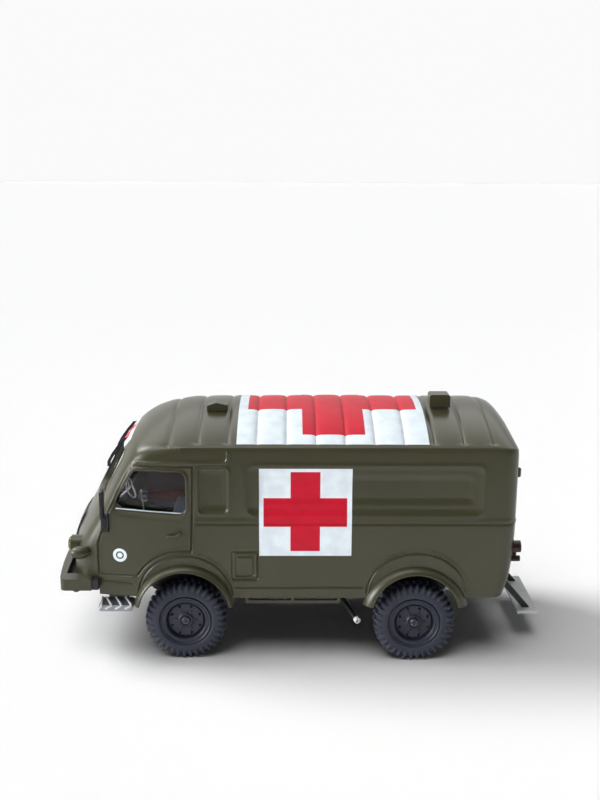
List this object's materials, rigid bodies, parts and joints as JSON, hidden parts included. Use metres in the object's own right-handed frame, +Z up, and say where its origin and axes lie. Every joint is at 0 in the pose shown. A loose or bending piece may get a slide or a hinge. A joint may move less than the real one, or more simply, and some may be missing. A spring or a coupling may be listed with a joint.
{
  "type": "scale model military ambulance van",
  "caption": "Die-cast display model of a forward-control military ambulance van that rolls on two axles, with a hollow body, glazed cab and a fixed rear step.",
  "frame": {"origin": "centre of the bounding box at the ground, under the wheels", "axes": "+X forward, +Y to the vehicle's left, +Z up"},
  "size_m": [0.1166, 0.0484, 0.0615],
  "materials": {
    "olive_paint": "satin olive paint over die-cast zinc",
    "black_plastic": "moulded black plastic",
    "screw_steel": "zinc-plated steel",
    "bright_plastic": "vacuum-metallised plastic",
    "clear_plastic": "clear polystyrene glazing",
    "axle_steel": "bright steel pin",
    "wheel_plastic": "satin blue-black plastic",
    "tyre_rubber": "soft matt rubber",
    "olive_plastic": "olive painted plastic",
    "lens_plastic": "clear yellow-tinted plastic",
    "tail_red": "dark red plastic",
    "black_trim": "black plastic trim",
    "tread_metal": "silver painted tread plate",
    "grey_plastic": "light grey plastic",
    "cab_plastic": "dark maroon plastic",
    "cab_grey": "dark grey plastic",
    "seat_grey": "grey-blue plastic",
    "seat_red": "red-brown plastic",
    "steering_white": "ivory plastic"
  },
  "bodies": {
    "van": {"body_casting": "olive_paint", "base_plate": "black_plastic", "base_screws": "screw_steel", "front_axle_housing": "black_plastic", "rear_axle_housing": "black_plastic", "transmission": "black_plastic", "fuel_tank": "black_plastic", "bumper_irons": "black_plastic", "rear_step_bracket": "black_plastic", "exhaust_pipe": "black_plastic", "exhaust_tip": "bright_plastic", "door_glass": "clear_plastic", "windscreen_glass": "clear_plastic", "back_door_glass": "clear_plastic", "front_bumper": "olive_plastic", "side_frames": "olive_plastic", "side_lamps": "olive_plastic", "door_handles": "olive_plastic", "roof_vent_front": "olive_plastic", "roof_vent_rear": "olive_plastic", "headlamp_rims": "olive_plastic", "headlamp_lenses": "lens_plastic", "tail_lamps": "tail_red", "nose_grille": "black_trim", "wipers": "black_trim", "mirrors": "black_trim", "front_steps": "tread_metal", "rear_step_plate": "grey_plastic", "bulkhead": "cab_plastic", "cab_floor": "cab_grey", "seat_cushions": "seat_grey", "seat_backs": "seat_red", "dashboard": "cab_grey", "steering_wheel": "steering_white", "gear_lever": "steering_white"},
    "front_wheels": {"front_axle_pin": "axle_steel", "wheel_front_left": "wheel_plastic", "wheel_front_right": "wheel_plastic", "tyre_front_left": "tyre_rubber", "tyre_front_right": "tyre_rubber"},
    "rear_wheels": {"rear_axle_pin": "axle_steel", "wheel_rear_left": "wheel_plastic", "wheel_rear_right": "wheel_plastic", "tyre_rear_left": "tyre_rubber", "tyre_rear_right": "tyre_rubber"}
  },
  "joints": [
    {"name": "front_axle_spin", "type": "hinge", "parent": "van", "child": "front_wheels", "pos_m": [0.0277, 0, 0.0096], "axis": [0, 1, 0], "continuous": true},
    {"name": "rear_axle_spin", "type": "hinge", "parent": "van", "child": "rear_wheels", "pos_m": [-0.0263, 0, 0.0096], "axis": [0, 1, 0], "continuous": true}
  ]
}
